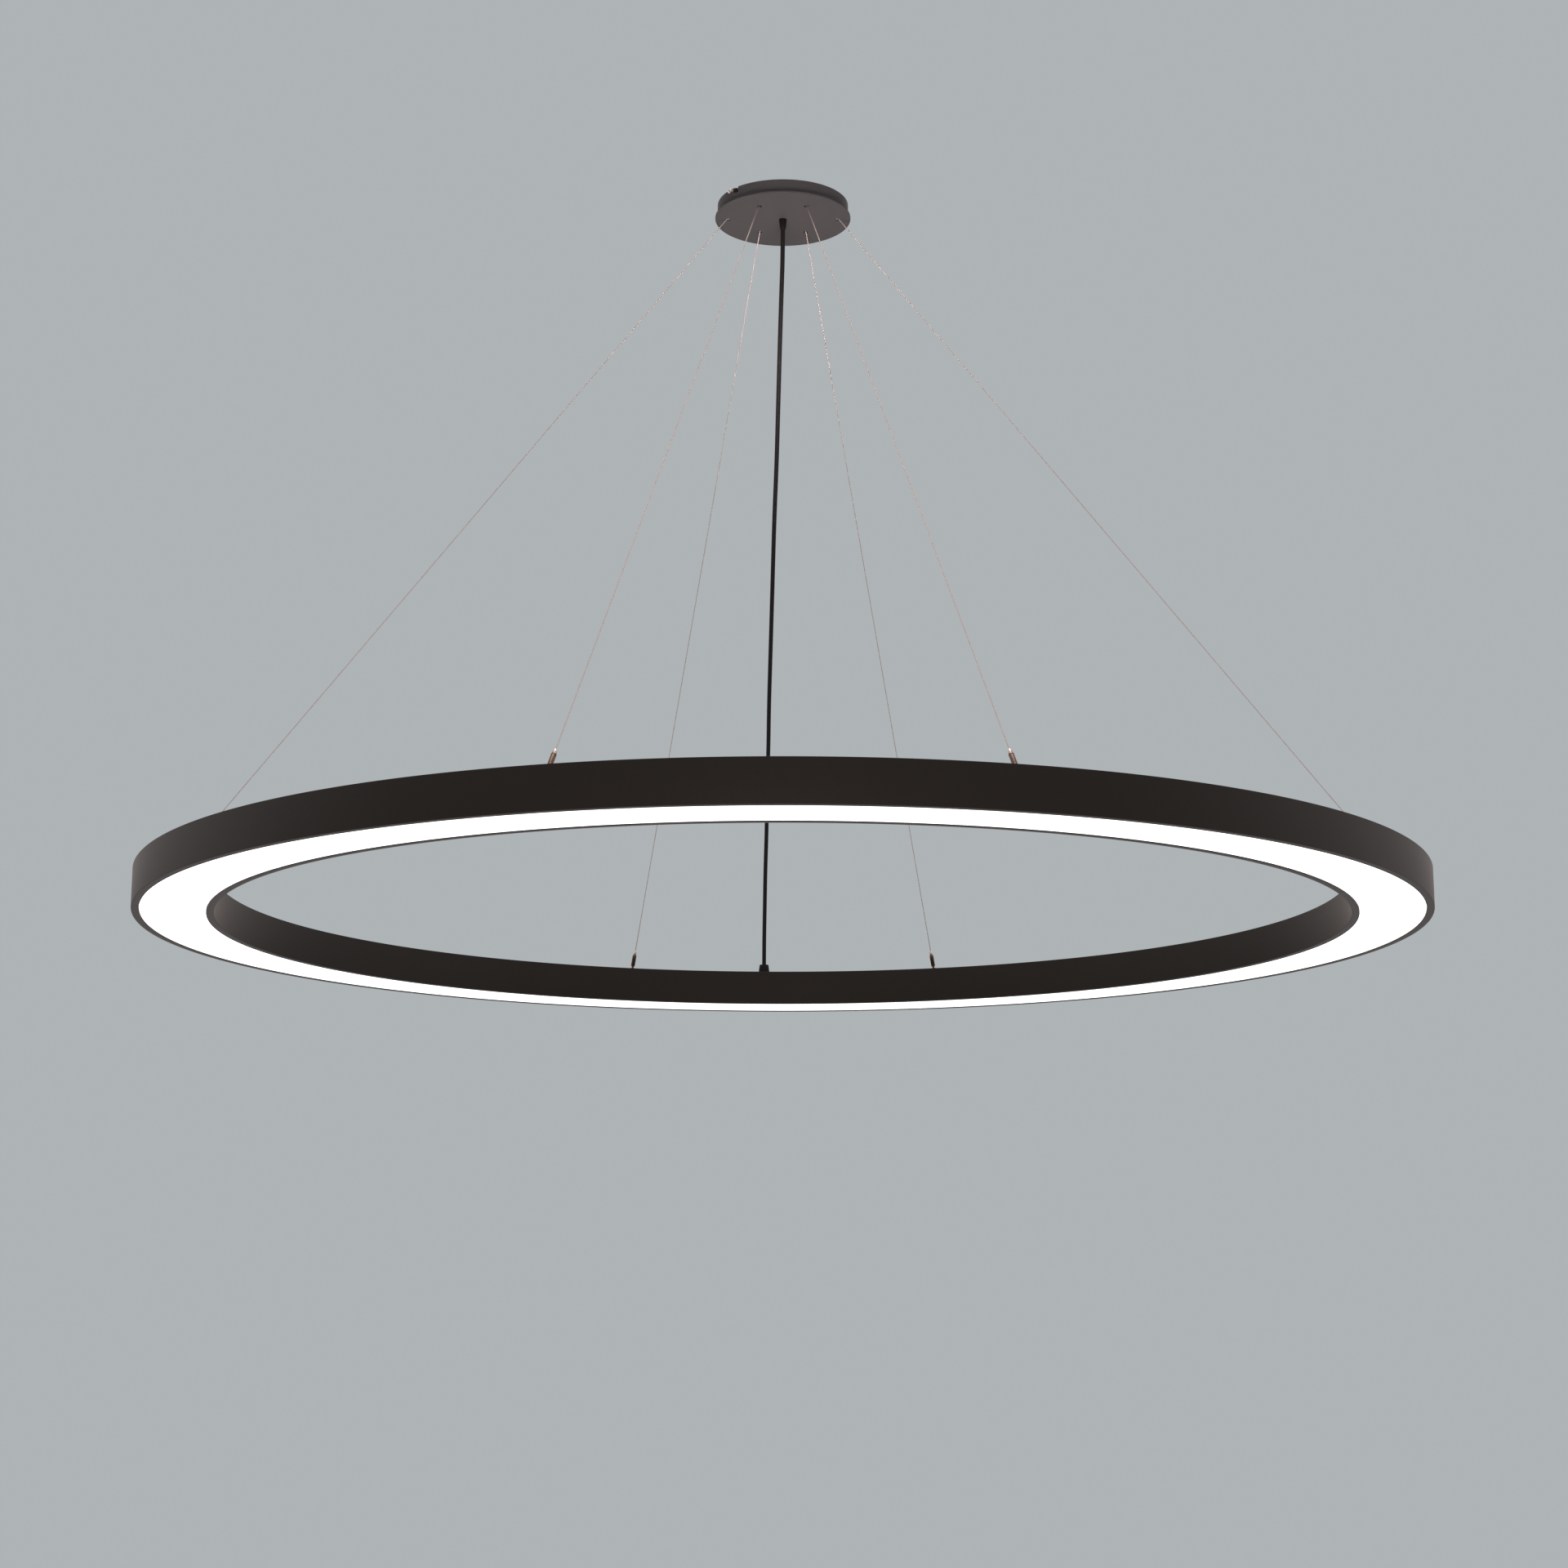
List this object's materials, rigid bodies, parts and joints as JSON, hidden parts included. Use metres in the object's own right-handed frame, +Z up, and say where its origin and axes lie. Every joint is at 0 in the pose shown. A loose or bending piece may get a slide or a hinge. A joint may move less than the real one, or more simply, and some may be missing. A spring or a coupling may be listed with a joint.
{
  "type": "ring chandelier",
  "caption": "Pendant light: a slim dark ring with a glowing opal underside, hung on slanting steel wires with small grippers from a round ceiling canopy, with a black cord.",
  "frame": {"origin": "centre of the ceiling mounting plate, in the plane of the ceiling", "axes": "+Z up, -Y towards the front of the picture, +X to its right"},
  "size_m": [1.4998, 1.4998, 0.911],
  "materials": {
    "canopy_coat": "fine-textured anthracite powder coat",
    "ring_coat": "fine-textured anthracite powder coat",
    "opal": "opal acrylic, lit from behind",
    "zinc": "zinc plated",
    "screw_steel": "bright nickel plated",
    "wire_steel": "stranded stainless steel",
    "bronze": "dark bronze plated",
    "nozzle_metal": "pale satin nickel",
    "black_rubber": "satin black sheath",
    "black_nylon": "moulded nylon",
    "tray_aluminium": "mill finish",
    "board_white": "white solder mask",
    "chip_yellow": "phosphor gel",
    "driver_white": "moulded white",
    "lead_white": "insulated leads"
  },
  "bodies": {
    "lamp": {"canopy_cup": "canopy_coat", "canopy_face": "canopy_coat", "ring_housing": "ring_coat", "diffuser": "opal", "ceiling_plate": "zinc", "hanger_plate": "zinc", "hanger_pillars": "zinc", "hanger_screws": "zinc", "face_nuts": "zinc", "anchor_nuts": "zinc", "tray_screws": "zinc", "tray_pillars": "zinc", "earth_screw": "zinc", "wire_1": "wire_steel", "wire_2": "wire_steel", "wire_3": "wire_steel", "wire_4": "wire_steel", "wire_5": "wire_steel", "wire_6": "wire_steel", "wire_stops": "wire_steel", "gripper_springs": "wire_steel", "anchor_pins": "wire_steel", "gripper_body_1": "bronze", "gripper_body_2": "bronze", "gripper_body_3": "bronze", "gripper_body_4": "bronze", "gripper_body_5": "bronze", "gripper_body_6": "bronze", "anchor_seats": "bronze", "power_cord": "black_rubber", "cord_grip": "black_rubber", "cord_gland": "black_rubber", "grip_nut": "black_nylon", "gland_nut": "black_nylon", "led_tray": "tray_aluminium", "led_boards": "board_white", "led_chips": "chip_yellow", "driver_1": "driver_white", "driver_2": "driver_white", "canopy_terminal_block": "driver_white", "ring_terminal_block": "driver_white", "canopy_leads": "lead_white", "ring_leads": "lead_white"},
    "nozzle_1": {"gripper_nozzle_1": "nozzle_metal"},
    "nozzle_2": {"gripper_nozzle_2": "nozzle_metal"},
    "nozzle_3": {"gripper_nozzle_3": "nozzle_metal"},
    "nozzle_4": {"gripper_nozzle_4": "nozzle_metal"},
    "nozzle_5": {"gripper_nozzle_5": "nozzle_metal"},
    "nozzle_6": {"gripper_nozzle_6": "nozzle_metal"},
    "lock_screw_1": {"lock_screw_1": "screw_steel"},
    "lock_screw_2": {"lock_screw_2": "screw_steel"}
  },
  "joints": [
    {"name": "nozzle_press_1", "type": "slide", "parent": "lamp", "child": "nozzle_1", "axis": [-0.1818, -0.586, -0.7896], "range_m": [0, 0.002], "stiffness_N_per_m": 400, "springref_m": -0.003, "deforming": ["gripper_springs"]},
    {"name": "nozzle_press_2", "type": "slide", "parent": "lamp", "child": "nozzle_2", "axis": [-0.5879, -0.1295, -0.7985], "range_m": [0, 0.002], "stiffness_N_per_m": 400, "springref_m": -0.003, "deforming": ["gripper_springs"]},
    {"name": "nozzle_press_3", "type": "slide", "parent": "lamp", "child": "nozzle_3", "axis": [-0.1719, 0.5891, -0.7895], "range_m": [0, 0.002], "stiffness_N_per_m": 400, "springref_m": -0.003, "deforming": ["gripper_springs"]},
    {"name": "nozzle_press_4", "type": "slide", "parent": "lamp", "child": "nozzle_4", "axis": [0.1719, 0.5891, -0.7895], "range_m": [0, 0.002], "stiffness_N_per_m": 400, "springref_m": -0.003, "deforming": ["gripper_springs"]},
    {"name": "nozzle_press_5", "type": "slide", "parent": "lamp", "child": "nozzle_5", "axis": [0.5879, -0.1295, -0.7985], "range_m": [0, 0.002], "stiffness_N_per_m": 400, "springref_m": -0.003, "deforming": ["gripper_springs"]},
    {"name": "nozzle_press_6", "type": "slide", "parent": "lamp", "child": "nozzle_6", "axis": [0.1818, -0.586, -0.7896], "range_m": [0, 0.002], "stiffness_N_per_m": 400, "springref_m": -0.003, "deforming": ["gripper_springs"]},
    {"name": "lock_screw_turn_1", "type": "hinge", "parent": "lamp", "child": "lock_screw_1", "pos_m": [-0.06205, -0.05207, -0.0044], "axis": [-0.766, -0.6428, 0], "range_deg": [0, 720]},
    {"name": "lock_screw_turn_2", "type": "hinge", "parent": "lamp", "child": "lock_screw_2", "pos_m": [0.06205, 0.05207, -0.0044], "axis": [0.766, 0.6428, 0], "range_deg": [0, 720]}
  ]
}
